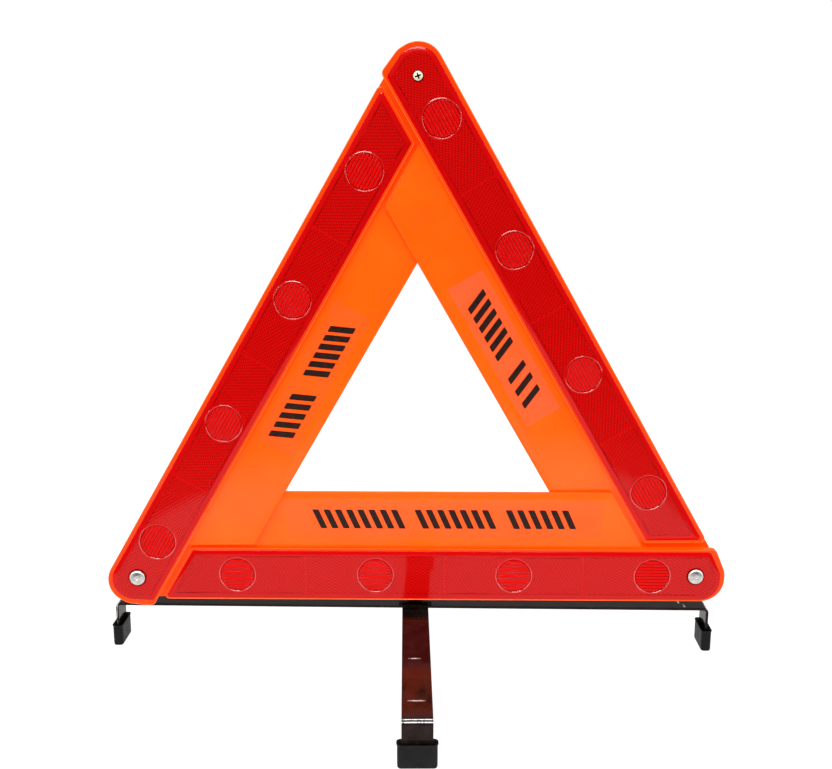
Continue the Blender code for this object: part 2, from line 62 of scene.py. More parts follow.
THROUGH = (-1 * MM, 9 * MM)  # heights that reach right through an arm
OUTLINE_STEPS = 12  # steps round each corner of the box and the lens
HOLE_GAP = 0.4 * MM  # room round a rivet in its housing
BORE_GAP = 0.2 * MM  # and in its washer or spacer

# Arm housing
WEAVE = 7.0 * MM  # how far a head stands in front of the next tail
BACK_PLANE = 3.0 * MM  # half the box's depth, from the middle of the weave
OUTER_EDGE = 19.5 * MM  # pivot line to the box's outer edge
INNER_EDGE = 20.0 * MM  # pivot line to the box's inner edge
BOX_END = 22.8 * MM  # slanted end of the box, from the next arm's pivot line
HEAD_END = 21.2 * MM  # round end of the box, from the arm's own head pivot
HEAD_CORNER = 14.0 * MM  # its inner corner, from the same pivot
BOX_FRONT = 5.7 * MM
POCKET_FLOOR = 2.6 * MM  # floor of the pocket that holds the lens
OUTER_RIM = 2.8 * MM  # orange rim beside the lens, outside
BOTTOM_RIM = 1.1 * MM  # the same on the bottom arm
INNER_RIM = 2.1 * MM  # rim towards the panel
END_RIM = 3.2 * MM  # and at the head

# Panel
PANEL_EDGE = 61.2 * MM
PANEL_HEAD_END = 22.6 * MM
PANEL_TAIL_END = 8.0 * MM
PANEL_FRONT = 2.0 * MM
PANEL_BACK = 0.8 * MM  # floor of the pockets in the panel's back
RIB_BACK = 0.2 * MM  # and the ribs between them
BACK_CELL = 0.7 * MM  # depth of the pockets in the box's back
CELL_WALL = 1.3 * MM  # between two pockets
TAIL_RADIUS = 19.2 * MM
TAIL_BOSS_RADIUS = 8.0 * MM
TAIL_BOSS_FRONT = 6.4 * MM
SEAT_RADIUS = 2.2 * MM  # open seat of the left arm's tail

# Lens
LENS_BACK = 2.9 * MM
LENS_EDGE = 5.55 * MM  # height of the lens's outer edge
LENS_FRONT = 6.3 * MM  # height of its prism field
LENS_BORDER = 3.2 * MM  # smooth sloping border round the prism field
PRISM = 0.8 * MM  # side of a prism facet
PRISM_DEPTH = 0.16 * MM
SEAM_CLEAR = 0.9 * MM  # prisms stay this far from a seam
DISC_CLEAR = 1.3 * MM  # from a disc
RING_CLEAR = 0.4 * MM  # from the sunken ring
BORDER_CLEAR = 0.9 * MM  # and from the border
DISC_RADIUS = 12.9 * MM
DISC_FIRST = 31.0 * MM  # first disc, from the head pivot
DISC_PITCH = 99.4 * MM
DISC_COUNT = 4
SEAM_FIRST = 80.7 * MM  # first raised seam, from the head pivot
SEAM_PITCH = 99.7 * MM
RIB_PITCH = 2.3 * MM  # straight ribs inside a disc
RIB_LOW = -0.2 * MM
RIB_HIGH = 0.3 * MM
SEAM_HEIGHT = 0.16 * MM
SEAM_HALF = 0.45 * MM
HEAD_GAP = 0.7 * MM  # sunken ring of the lens round a rivet or screw head
HEAD_GAP_DEPTH = 0.7 * MM

# Films and printed dashes on the panels, along and across the arm
FILM_BACK = 2.2 * MM
FILM_FRONT = 2.4 * MM
SHORT_FILM = (131.5 * MM, 244.0 * MM, 25.0 * MM, 52.5 * MM)
LONG_FILM = (67.5 * MM, 293.5 * MM, 27.0 * MM, 54.0 * MM)
INK = 0.07 * MM
DASH_PITCH = 7.2 * MM
DASH_WIDTH = 4.6 * MM
DASH_LEAN = 0.45  # sideways lean for each unit of height

# Fasteners; the two lists are (radius, depth) in millimetres
HEAD_SEAT = 0.05 * MM  # between a lens and the head on it
DIMPLE = ((0, 0.75), (0.7, 0.7), (1.2, 0.2), (1.7, 0.1))
FORMED_END = ((3.3, 0.4), (3.7, 0.9), (3.7, 2.0), (3.2, 2.8), (2.0, 3.2), (0.8, 2.9), (0, 2.6))
RIVET_RADIUS = 2.4 * MM
RIVET_HEAD_RADIUS = 5.6 * MM
RIVET_HEAD_HEIGHT = 2.6 * MM
SCREW_RADIUS = 1.9 * MM
SCREW_HEAD_RADIUS = 3.2 * MM
SCREW_HEAD_HEIGHT = 2.3 * MM
THREAD_PITCH = 0.7 * MM
THREAD_DEPTH = 0.25 * MM
RECESS = (2.1 * MM, 0.55 * MM)  # half the length and half the width of a recess's slots
RECESS_DEPTH = 1.3 * MM

# Stand
STRIP_WIDTH = 19.0 * MM
STRIP_THICKNESS = 2.0 * MM
BEND_RADIUS = 1.8 * MM
FOOT_LENGTH = 23.6 * MM
FOOT_THICKNESS = 6.6 * MM
FOOT_FLOOR = 2.2 * MM
STRIP_FOOT_GAP = 0.3 * MM

# Studio
LIT_MIDDLE = (0.0, -0.273, 0.0)  # of the round of floor that glossy faces mirror
LIT_RADIUS = 0.27
PICTURE_WIDTH = 832
FOCUS = 1105.3  # focal length in pixels of such a picture
SENSOR = 36.0
CAMERA_PLACE = (-0.0064, -0.7598, 0.3644)
CAMERA_TURNS = (0.509, -12.554, 0.086)  # yaw, pitch and roll in degrees

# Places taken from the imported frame
JOINTS = {joint["name"]: Vector(joint["pos_m"]) for joint in frame["joints"]}
MOUNTS = {mount["name"]: Vector(mount["pos_m"]) for mount in frame["record"]["mounts"]}
LEFT_PIVOT = JOINTS["left_arm_fold"]
RIGHT_PIVOT = JOINTS["right_arm_fold"]
SIDE = (RIGHT_PIVOT - LEFT_PIVOT).length
TOP_PIVOT = (LEFT_PIVOT + RIGHT_PIVOT) / 2 + Vector((0, 0, SIDE * math.sin(ARM_ANGLE)))
PIVOT_PITCH = math.hypot(SIDE, WEAVE)
TILT = math.asin(WEAVE / PIVOT_PITCH)
SEAMS = [SEAM_FIRST + k * SEAM_PITCH for k in range(3)]
DISCS = [DISC_FIRST + k * DISC_PITCH for k in range(DISC_COUNT)]


# ---- outlines

def line_cross(p, u, q, v):
    """The point where the line through p along u meets the line through q along v."""
    det = u.x * v.y - u.y * v.x
    t = ((q.x - p.x) * v.y - (q.y - p.y) * v.x) / det
    return p + u * t


def turn_at(corners, i):
    """Left turn of an outline at a corner, in radians; an inward corner turns right."""
    here = Vector(corners[i][:2])
    before = here - Vector(corners[i - 1][:2])
    after = Vector(corners[(i + 1) % len(corners)][:2]) - here
    return math.atan2(before.x * after.y - before.y * after.x, before.dot(after))


def inset_corners(corners, inset):
    """The corners of an anticlockwise outline whose sides are all moved inwards by inset."""
    count = len(corners)
    sides = []
    for i in range(count):
        start = Vector(corners[i][:2])
        along = (Vector(corners[(i + 1) % count][:2]) - start).normalized()
        sides.append((start + Vector((-along.y, along.x)) * inset, along))
    moved = []
    for i in range(count):
        point = line_cross(*sides[i - 1], *sides[i])
        change = -inset if turn_at(corners, i) > 0 else inset
        moved.append((point.x, point.y, max(corners[i][2] + change, 0.15 * MM)))
    return moved


def rounded(corners, inset=0.0, steps=8):
    """Outline points from (x, y, corner radius) corners, with the same count at any inset."""
    placed = inset_corners(corners, inset) if inset else corners
    points = []
    for i, (x, y, radius) in enumerate(placed):
        turn = turn_at(placed, i)
        corner = Vector((x, y))
        back = (Vector(placed[i - 1][:2]) - corner).normalized()
        reach = radius * math.tan(abs(turn) / 2)
        start = corner + back * reach
        side = 1 if turn > 0 else -1
        centre = start + Vector((back.y, -back.x)) * radius * side
        for k in range(steps + 1):
            points.append(centre + Matrix.Rotation(turn * k / steps, 2) @ (start - centre))
    return points


def rectangle(x0, x1, y0, y1, radius):
    """Corners of a rectangle, all rounded alike."""
    return [(x0, y0, radius), (x1, y0, radius), (x1, y1, radius), (x0, y1, radius)]


def slanted(distance, y):
    """How far along the arm a line at 60 degrees runs, at height y, from the pivot it passes."""
    return distance / math.sin(ARM_ANGLE) + y / math.tan(ARM_ANGLE)


# ---- mesh building

def loft(bm, loops):
    """Joins loops of equal point count into a closed skin, with flat caps at both ends."""
    rows = [[bm.verts.new(point) for point in loop] for loop in loops]
    for low, high in zip(rows, rows[1:]):
        for i in range(len(low)):
            bm.faces.new((low[i - 1], low[i], high[i], high[i - 1]))
    bm.faces.new(reversed(rows[0]))
    bm.faces.new(rows[-1])
    return rows


def profile_loft(bm, corners, profile, steps=8):
    """A lofted plate: profile lists (inset, z) from one face round the edge to the other."""
    return loft(bm, [
        [(p.x, p.y, z) for p in rounded(corners, inset, steps)] for inset, z in profile])


def lathe(bm, profile, x=0.0, y=0.0, steps=48):
    """A turned ring or plug about z: profile lists (radius, z) and is closed on itself."""
    rows = []
    for k in range(steps):
        angle = 2 * math.pi * k / steps
        rows.append([
            bm.verts.new((x + r * math.cos(angle), y + r * math.sin(angle), z))
            for r, z in profile])
    for k in range(steps):
        for j in range(len(profile)):
            a, b = rows[k - 1], rows[k]
            bm.faces.new((a[j - 1], a[j], b[j], b[j - 1]))
    bmesh.ops.remove_doubles(bm, verts=bm.verts, dist=WELD)


def to_mesh(bm, name, angle=SHARP_ANGLE):
    """Ends a drawing: outward faces, smooth shading and sharp edges."""
    bmesh.ops.remove_doubles(bm, verts=bm.verts, dist=WELD)
    bmesh.ops.recalc_face_normals(bm, faces=bm.faces)
    mesh = bpy.data.meshes.new(name)
    bm.to_mesh(mesh)
    bm.free()
    mesh.shade_smooth()
    mesh.set_sharp_from_angle(angle=math.radians(angle))
    return mesh


def link_object(name, data):
    """A new object in the scene that shows the given mesh, light or camera."""
    obj = bpy.data.objects.new(name, data)
    bpy.context.scene.collection.objects.link(obj)
    return obj


def solid(name, draw, *args):
    """A bare object from a drawing function."""
    bm = bmesh.new()
    draw(bm, *args)
    return link_object(name, to_mesh(bm, name))


def combine(obj, operation, draw, *args, turn=0.0):
    """Joins or cuts obj for good with a tool from a drawing function, turned about z."""
    tool = solid("tool", draw, *args)
    tool.rotation_euler.z = turn
    modifier = obj.modifiers.new("tool", "BOOLEAN")
    modifier.operation = operation
    modifier.solver = "EXACT"
    modifier.object = tool
    bpy.context.view_layer.update()
    depsgraph = bpy.context.evaluated_depsgraph_get()
    mesh = bpy.data.meshes.new_from_object(obj.evaluated_get(depsgraph))
    obj.modifiers.clear()
    obj.data = mesh
    mesh.shade_smooth()
    mesh.set_sharp_from_angle(angle=math.radians(SHARP_ANGLE))
    bpy.data.objects.remove(tool)


def finish_piece(obj, material, body, matrix=None):
    """Paints and places an object, and lets it ride on a body in place of its CAD node."""
    obj.data.materials.clear()
    obj.data.materials.append(material)
    weighted = obj.modifiers.new("weighted", "WEIGHTED_NORMAL")
    weighted.keep_sharp = True
    if matrix:
        obj.matrix_world = matrix
    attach(obj, body)
    node = obj.name.split(".")[0]
    if node in frame["nodes"]:
        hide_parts(node)


# ---- materials

class Graph:
    """Short words for building a shader out of nodes."""

    def __init__(self, tree):
        self.tree = tree
        self.tree.nodes.clear()

    def node(self, kind, settings=None, **inputs):
        node = self.tree.nodes.new("ShaderNode" + kind)
        for key, value in (settings or {}).items():
            setattr(node, key, value)
        for key, value in inputs.items():
            self.feed(node.inputs[key.replace("_", " ")], value)
        return node

    def feed(self, socket, value):
        """Links an output, or a node's first output, to a socket, or sets a plain value."""
        if isinstance(value, bpy.types.Node):
            value = value.outputs[0]
        if isinstance(value, bpy.types.NodeSocket):
            self.tree.links.new(value, socket)
        else:
            socket.default_value = value

    def where(self):
        return self.node("TexCoord").outputs["Object"]

    def attribute(self, name):
        return self.node("Attribute", {"attribute_name": name}).outputs["Fac"]

    def noise(self, vector, scale, detail=3.0, roughness=0.55):
        return self.node("TexNoise", Vector=vector, Scale=scale, Detail=detail, Roughness=roughness)

    def ramp(self, value, low, high, to_low=0.0, to_high=1.0):
        return self.node("MapRange", Value=value, From_Min=low, From_Max=high,
                         To_Min=to_low, To_Max=to_high)

    def sum(self, a, b, operation="ADD"):
        node = self.node("Math", {"operation": operation})
        self.feed(node.inputs[0], a)
        self.feed(node.inputs[1], b)
        return node

    def times(self, a, b):
        return self.sum(a, b, "MULTIPLY")

    def blend(self, share, a, b):
        node = self.node("Mix", {"data_type": "RGBA"})
        self.feed(node.inputs[0], share)
        self.feed(node.inputs[6], a)
        self.feed(node.inputs[7], b)
        return node.outputs[2]

    def mix(self, share, a, b):
        node = self.node("MixShader")
        for socket, value in zip(node.inputs, (share, a, b)):
            self.feed(socket, value)
        return node

    def bump(self, height, distance, strength=1.0):
        return self.node("Bump", Height=height, Distance=distance, Strength=strength)

    def axis(self, vector, name):
        return self.node("SeparateXYZ", Vector=vector).outputs[name]

    def output(self, shader):
        self.node("OutputMaterial", Surface=shader)

    def surface(self, **inputs):
        self.output(self.node("BsdfPrincipled", **inputs))


def new_material(name):
    material = bpy.data.materials.new(name)
    material.use_nodes = True
    g = Graph(material.node_tree)
    return material, g, g.where()


def orange_plastic():
    """Fluorescent moulding: flow clouds, a fine skin and small scuffs, with painted shade on raised parts and in
    the back pockets, painted highlights along the rim's edges, and a weak painted glow.
    """
    material, g, where = new_material("orange_plastic")
    clouds = g.ramp(g.noise(where, 18.0, 4.0), 0.3, 0.7)
    colour = g.blend(clouds, (1.0, 0.079, 0.001, 1), (1.0, 0.101, 0.002, 1))
    height = g.times(g.axis(where, "Z"), -1.0)
    # Painted shade: everything standing more than 3.2 mm over the back, the box and the tail boss, is painted a
    # deeper red-orange.
    raised = g.ramp(height, 3.2 * MM, 4.6 * MM)
    colour = g.blend(raised, colour, (1.0, 0.036, 0.0, 1))
    # Painted highlight: a lighter band along the rim's edges, just under the box front.
    ridge = g.ramp(height, BOX_FRONT - 0.35 * MM, BOX_FRONT - 0.1 * MM)
    colour = g.blend(g.times(ridge, 0.65), colour, (1.0, 0.15, 0.018, 1))
    # Painted shade: the floors of the pockets in the back are painted darker.
    floor = g.times(g.ramp(height, 0.35 * MM, 0.6 * MM), g.ramp(height, 0.95 * MM, 0.85 * MM))
    colour = g.blend(g.times(floor, 0.7), colour, (1.0, 0.050, 0.0, 1))
    scuffs = g.ramp(g.noise(where, 420.0, 6.0, 0.7), 0.66, 0.78)
    colour = g.blend(g.times(scuffs, 0.10), colour, (1.0, 0.35, 0.12, 1))
    rough = g.ramp(g.noise(where, 60.0, 5.0), 0.3, 0.7, 0.13, 0.22)
    skin = g.sum(g.noise(where, 900.0, 2.0), g.times(g.noise(where, 60.0, 2.0), 2.0))
    # The emission is a weak painted glow of the whole moulding.
    g.surface(Base_Color=colour, Roughness=g.sum(rough, g.times(scuffs, 0.2)),
              IOR=1.45, Specular_IOR_Level=0.3, Normal=g.bump(skin, 0.00002),
              Emission_Color=(1.0, 0.08, 0.0, 1), Emission_Strength=0.25)
    return material


def red_lens():
    """Prismatic red plastic under a smooth clear face: painted light on high points and painted shade on low ones,
    a darker red border, painted shadow in the ring round a head, and a weak painted glow.
    """
    material, g, where = new_material("red_lens")
    relief = g.attribute("relief")
    face = g.attribute("face")
    height = g.times(g.axis(where, "Z"), -1.0)
    # Painted light and shade: the higher points of the prisms, seams and disc ribs are painted brighter, the lower
    # ones darker.
    peak_light_valley_shade = g.ramp(height, LENS_FRONT - PRISM_DEPTH, LENS_FRONT + PRISM_DEPTH)
    colour = g.blend(g.sum(peak_light_valley_shade, 1.3, "POWER"), (0.28, 0.0, 0.0, 1), (0.70, 0.001, 0.001, 1))
    ribs = g.ramp(relief, 0.02, 0.0)
    colour = g.blend(g.times(ribs, 0.15), colour, (0.30, 0.0, 0.001, 1))
    colour = g.blend(face, (0.52, 0.0, 0.001, 1), colour)
    # Painted shadow: the sunken ring round a rivet or screw head is painted near black.
    sunken = g.ramp(height, LENS_FRONT - 0.25 * MM, LENS_FRONT - HEAD_GAP_DEPTH, 0.0, 0.9)
    colour = g.blend(g.times(face, sunken), colour, (0.03, 0.0, 0.0, 1))
    patches = g.ramp(g.noise(where, 45.0, 3.0), 0.35, 0.65, 0.0, 0.3)
    colour = g.blend(patches, colour, (0.40, 0.0, 0.0, 1))
    flat = g.node("VectorTransform", {"vector_type": "NORMAL", "convert_from": "OBJECT",
                                      "convert_to": "WORLD"}, Vector=(0.0, 0.0, -1.0))
    own = g.node("NewGeometry").outputs["Normal"]
    smooth = g.node("Mix", {"data_type": "VECTOR"})
    g.feed(smooth.inputs[0], g.times(relief, 0.93))
    g.feed(smooth.inputs[4], own)
    g.feed(smooth.inputs[5], flat)
    coat = g.sum(g.ramp(relief, 0.0, 1.0, 0.2, 0.62), g.ramp(face, 1.0, 0.0, 0.0, 0.45))
    coat = g.sum(coat, g.ramp(relief, 0.0, -1.0, 0.0, 0.8))
    scratches = g.ramp(g.noise(where, 700.0, 8.0, 0.8), 0.62, 0.75)
    # The emission is a weak painted red glow.
    g.surface(Base_Color=colour, Roughness=0.3, IOR=1.45,
              Specular_IOR_Level=0.3, Specular_Tint=(1.0, 0.3, 0.25, 1),
              Coat_Weight=coat, Coat_IOR=g.ramp(relief, 0.0, -1.0, 1.45, 2.3),
              Coat_Normal=smooth.outputs[1],
              Coat_Roughness=g.sum(0.03, g.times(scratches, 0.12)),
              Emission_Color=(0.9, 0.0, 0.0, 1), Emission_Strength=0.05)
    return material


def clear_film(name, haze):
    """Thin clear film: mostly see-through, a little milky, glossy, with dust in its glue."""
    material, g, where = new_material(name)
    dust = g.ramp(g.noise(where, 500.0, 5.0, 0.75), 0.68, 0.74)
    milk = g.ramp(g.noise(where, 40.0, 3.0), 0.35, 0.65, 0.7 * haze, 1.3 * haze)
    body = g.node("BsdfPrincipled", Base_Color=(1.0, 0.22, 0.12, 1), Roughness=0.1,
                  Coat_Weight=0.4, Coat_Roughness=0.04)
    clear = g.node("BsdfTransparent", Color=(1.0, 0.98, 0.97, 1))
    g.output(g.mix(g.sum(milk, g.times(dust, 0.3)), clear, body))
    return material


def black_ink():
    """Printing ink, with a little wear."""
    material, g, where = new_material("black_ink")
    wear = g.ramp(g.noise(where, 350.0, 5.0, 0.7), 0.3, 0.7)
    colour = g.blend(wear, (0.012, 0.005, 0.004, 1), (0.030, 0.014, 0.010, 1))
    g.surface(Base_Color=colour, Specular_IOR_Level=0.15,
              Roughness=g.ramp(wear, 0.0, 1.0, 0.3, 0.5))
    return material


def metal(name, colour, dull, roughness, brushing, share):
    """Bare metal with turning marks and dull patches, and painted shade, near black, on faces marked as lying in a
    recess.
    """
    material, g, where = new_material(name)
    radial = g.node("VectorMath", {"operation": "LENGTH"}, Vector=where).outputs["Value"]
    rings = g.noise(g.node("CombineXYZ", X=radial), brushing, 2.0)
    patches = g.ramp(g.noise(where, 350.0, 4.0), 0.35, 0.65)
    # Painted shade: faces marked as lying in a recess are painted near black, without metallic shine.
    recess_shade = g.attribute("recess_shade")
    tone = g.blend(recess_shade, g.blend(patches, colour, dull), (0.006, 0.005, 0.004, 1))
    turned = g.node("Tangent", {"direction_type": "RADIAL", "axis": "Z"})
    g.surface(Base_Color=tone, Metallic=g.times(g.ramp(recess_shade, 1.0, 0.0), share),
              Roughness=g.ramp(patches, 0.0, 1.0, roughness, roughness + 0.12),
              Specular_IOR_Level=g.ramp(recess_shade, 0.0, 1.0, 0.5, 0.05),
              Anisotropic=0.75, Tangent=turned,
              Normal=g.bump(rings, 0.00004, 0.6))
    return material


def black_paint(name, marks, gloss):
    """Glossy black enamel: orange peel, dust and rubbed areas, with painted highlights in two lines round each
    bend and painted glint spots.

    marks are the painted glint spots, each (place along the strip, place across it, half its length).
    """
    material, g, where = new_material(name)
    peel = g.noise(where, 260.0, 3.0)
    dust = g.ramp(g.noise(where, 1100.0, 5.0, 0.75), 0.67, 0.75)
    rubbed = g.ramp(g.noise(where, 90.0, 6.0, 0.7), 0.45, 0.75)
    colour = g.blend(rubbed, (0.005, 0.003, 0.0028, 1), (0.016, 0.0098, 0.0085, 1))
    colour = g.blend(g.times(dust, 0.35), colour, (0.12, 0.08, 0.07, 1))
    flakes = g.ramp(g.noise(where, 900.0, 4.0, 0.7), 0.40, 0.56)
    # Painted highlights: two lines round each bend are painted near white and slightly metallic.
    painted_glint = g.ramp(g.attribute("bend_highlight"), 0.35, 0.75)
    # Painted glints: small spots at the given places are painted near white.
    for along, across, reach in marks:
        x = g.sum(g.sum(g.axis(where, "X"), -along), 0.0, "ABSOLUTE")
        y = g.sum(g.sum(g.axis(where, "Y"), -across), 0.0, "ABSOLUTE")
        glint_spot = g.times(g.ramp(x, 0.9 * MM, 0.2 * MM), g.ramp(y, reach, reach * 0.3))
        painted_glint = g.sum(painted_glint, g.times(glint_spot, 0.9), "MAXIMUM")
    painted_glint = g.times(painted_glint, flakes)
    colour = g.blend(painted_glint, colour, (0.95, 0.94, 0.92, 1))
    g.surface(Base_Color=colour, IOR=1.45, Specular_IOR_Level=gloss,
              Specular_Tint=(1.0, 0.80, 0.76, 1), Metallic=g.times(painted_glint, 0.2),
              Roughness=g.sum(g.ramp(rubbed, 0.0, 1.0, 0.10, 0.22), g.times(painted_glint, 0.2)),
              Normal=g.bump(g.sum(peel, dust), 0.00003, 0.7))
    return material


def black_rubber():
    """Matt rubber with a fine grain and a grey bloom."""
    material, g, where = new_material("black_rubber")
    grain = g.noise(where, 1500.0, 4.0, 0.7)
    bloom = g.ramp(g.noise(where, 120.0, 5.0, 0.6), 0.4, 0.75)
    colour = g.blend(bloom, (0.003, 0.003, 0.003, 1), (0.0075, 0.0072, 0.007, 1))
    g.surface(Base_Color=colour,
              Roughness=g.ramp(bloom, 0.0, 1.0, 0.45, 0.65),
              Normal=g.bump(grain, 0.00006, 0.8), Specular_IOR_Level=0.2)
    return material


ORANGE = orange_plastic()
RED = red_lens()
FILM = clear_film("label_film", 0.12)
FAINT_FILM = clear_film("faint_film", 0.035)
INK_BLACK = black_ink()
ALUMINIUM = metal("aluminium", (0.96, 0.94, 0.90, 1), (0.74, 0.72, 0.68, 1), 0.30, 5000.0, 0.95)
ZINC = metal("yellow_zinc", (1.0, 0.94, 0.74, 1), (0.88, 0.79, 0.56, 1), 0.42, 3000.0, 0.3)
# Places of the painted glint spots on the bar and on the cross strip.
BAR_GLINTS = [(192.8 * MM, 1 * MM, 4 * MM), (195.9 * MM, -5.2 * MM, 3.5 * MM)]
LEG_GLINTS = [(-88.8 * MM, 1.2 * MM, 4.5 * MM), (-144.8 * MM, 0.4 * MM, 6 * MM)]
PAINT = black_paint("black_paint", BAR_GLINTS, 0.27)
LEG_PAINT = black_paint("leg_paint", LEG_GLINTS, 0.23)
RUBBER = black_rubber()


# ---- arms

def arm_frame(head, tail):
    """The frame of an arm that leans its head forwards over the tail before it."""
    flat = (tail - head).normalized()
    back = Vector((0, 1, 0))
    x = flat * math.cos(TILT) + back * math.sin(TILT)
    y = back.cross(flat)
    matrix = Matrix((x, y, x.cross(y))).transposed().to_4x4()
    matrix.translation = head + back * (BACK_PLANE - WEAVE / 2)
    return matrix


def box_corners():
    """Outline of the lens box."""
    end = PIVOT_PITCH
    return [
        (-HEAD_END, -OUTER_EDGE, 17 * MM),
        (end - slanted(BOX_END, -OUTER_EDGE), -OUTER_EDGE, 3.2 * MM),
        (end - slanted(BOX_END, INNER_EDGE), INNER_EDGE, 3.2 * MM),
        (-HEAD_CORNER, INNER_EDGE, 4.5 * MM),
        (-HEAD_END, 3 * MM, 14 * MM),
    ]


def lens_corners(outer_rim):
    """Outline of the lens and of its pocket."""
    end = PIVOT_PITCH
    outer, inner = -OUTER_EDGE + outer_rim, INNER_EDGE - INNER_RIM
    return [
        (-HEAD_END + END_RIM, outer, 14.5 * MM),
        (end - slanted(BOX_END + INNER_RIM, outer), outer, 1.8 * MM),
        (end - slanted(BOX_END + INNER_RIM, inner), inner, 1.8 * MM),
        (-HEAD_CORNER + 3.8 * MM, inner, 2.5 * MM),
        (-HEAD_END + END_RIM, 1.5 * MM, 12 * MM),
    ]


def panel_corners():
    """Outline of the flat panel, from under the box to the free inner edge."""
    end = PIVOT_PITCH
    low, high = -TAIL_RADIUS, PANEL_EDGE
    return [
        (slanted(PANEL_HEAD_END, low), low, 1 * MM),
        (end - slanted(PANEL_TAIL_END, low), low, 6 * MM),
        (end - slanted(PANEL_TAIL_END, high), high, 3 * MM),
        (slanted(PANEL_HEAD_END, high), high, 4.5 * MM),
    ]


def draw_box(bm, outer_rim):
    """The lens box: a thin-lipped back, rounded sides, and a ridged rim round the lens pocket.

    Its profiles, like the panel's and the lens's, list (inset, height) in millimetres.
    """
    outline, pocket = box_corners(), lens_corners(outer_rim)
    back = [(3.0, 0.55), (2.5, 0.5), (2.1, 0.08), (1.8, 0.0), (0.6, 0.0), (0.2, 0.2), (0.0, 0.7)]
    top = BOX_FRONT / MM
    side = [(0.0, top - 0.9), (0.1, top - 0.35), (0.25, top - 0.08), (0.45, top), (0.65, top - 0.1),
            (0.8, top - 0.35)]
    mouth = [(-0.25, top - 0.4), (-0.05, top - 0.45), (0.0, top - 0.6), (0.0, POCKET_FLOOR / MM)]
    loops = []
    for corners, profile in ((outline, back), (outline, side), (pocket, mouth)):
        for inset, height in profile:
            points = rounded(corners, inset * MM, OUTLINE_STEPS)
            loops.append([(p.x, p.y, -height * MM) for p in points])
    loft(bm, loops)


def draw_panel(bm):
    """The flat panel, with a thin ridge and a shallow slope along its free edges."""
    face = PANEL_FRONT / MM
    profile = [
        (1.2, RIB_BACK / MM), (0.3, RIB_BACK / MM), (0.0, RIB_BACK / MM + 0.25),
        (0.0, face - 0.75), (0.1, face - 0.3), (0.3, face - 0.06), (0.55, face), (0.8, face - 0.1),
        (1.1, face - 0.34), (1.6, face - 0.36), (4.2, face - 0.1), (5.2, face - 0.02), (6.2, face)]
    profile_loft(bm, panel_corners(), [(inset * MM, -height * MM) for inset, height in profile])


def draw_tail(bm):
    """The round tongue under the next arm's head, with its boss."""
    lathe(bm, [(0, -RIB_BACK), (TAIL_RADIUS - 0.4 * MM, -RIB_BACK), (TAIL_RADIUS, -0.5 * MM),
               (TAIL_RADIUS, -PANEL_FRONT + 0.3 * MM), (TAIL_RADIUS - 0.3 * MM, -PANEL_FRONT),
               (TAIL_BOSS_RADIUS + 0.6 * MM, -PANEL_FRONT), (TAIL_BOSS_RADIUS, -PANEL_FRONT - 0.6 * MM),
               (TAIL_BOSS_RADIUS, -TAIL_BOSS_FRONT + 0.3 * MM),
               (TAIL_BOSS_RADIUS - 0.3 * MM, -TAIL_BOSS_FRONT), (0, -TAIL_BOSS_FRONT)],
          PIVOT_PITCH, 0.0, 64)


def draw_slab(bm, corners, low, high, edge=0.25 * MM, steps=4):
    """A plate between heights low and high, with its edges broken."""
    profile_loft(bm, corners, [(edge, -low), (0, -low - edge), (0, -high + edge), (edge, -high)], steps)


def draw_cells(bm, start, end, low, high, count, radius, depth):
    """A row of pockets in the back, parted by walls."""
    wide = (end - start + CELL_WALL) / count
    for column in range(count):
        x = start + column * wide
        draw_slab(bm, rectangle(x, x + wide - CELL_WALL, low, high, radius), THROUGH[0], depth)


def draw_back_cells(bm):
    """Shallow pockets that leave stiffening ribs standing on the back of the arm."""
    low, high = INNER_EDGE + 1.5 * MM, PANEL_EDGE - 1.4 * MM
    rows = 3
    tall = (high - low + CELL_WALL) / rows
    for row in range(rows):
        y0 = low + row * tall
        y1 = y0 + tall - CELL_WALL
        start = slanted(PANEL_HEAD_END, y1) + 1.6 * MM
        end = PIVOT_PITCH - slanted(PANEL_TAIL_END, y1) - 1.6 * MM
        draw_cells(bm, start, end, y0, y1, 9, 1.2 * MM, PANEL_BACK)
    edge = OUTER_EDGE - 2.5 * MM
    end = PIVOT_PITCH - slanted(BOX_END, edge) - 3 * MM
    draw_cells(bm, 20 * MM, end, -edge, edge, 12, 1.5 * MM, BACK_CELL)


def draw_hole(bm, x, radius):
    """A round plug through the arm, at x on its pivot line."""
    low, high = THROUGH
    lathe(bm, [(0, -low), (radius, -low), (radius, -high), (0, -high)], x, 0.0, 32)


def draw_mouth(bm):
    """The open seat of the left arm's tail, by which it hooks over the top screw."""
    points = []
    for k in range(25):
        angle = math.radians(180 + 120 * k / 24)
        points.append(Vector((PIVOT_PITCH + SEAT_RADIUS * math.cos(angle),
                              SEAT_RADIUS * math.sin(angle))))
    reach = 30 * MM
    out = math.radians(30)
    points.append(points[-1] + Vector((math.cos(out), math.sin(out))) * reach)
    points.append(points[0] + Vector((0, reach)))
    loft(bm, [[(p.x, p.y, -height) for p in points] for height in reversed(THROUGH)])


def draw_marks(bm, groups, low, high, front):
    """Slanted printed dashes, in groups along the arm."""
    lean = (high - low) * DASH_LEAN
    radius = 0.4 * MM
    for start, end in groups:
        count = round((end - start - lean) / DASH_PITCH)
        for k in range(count):
            x = start + (end - start - lean - DASH_WIDTH) * k / max(count - 1, 1)
            corners = [(x, low, radius), (x + DASH_WIDTH, low, radius),
                       (x + DASH_WIDTH + lean, high, radius), (x + lean, high, radius)]
            draw_slab(bm, corners, front, front + INK, 0.02 * MM, 3)


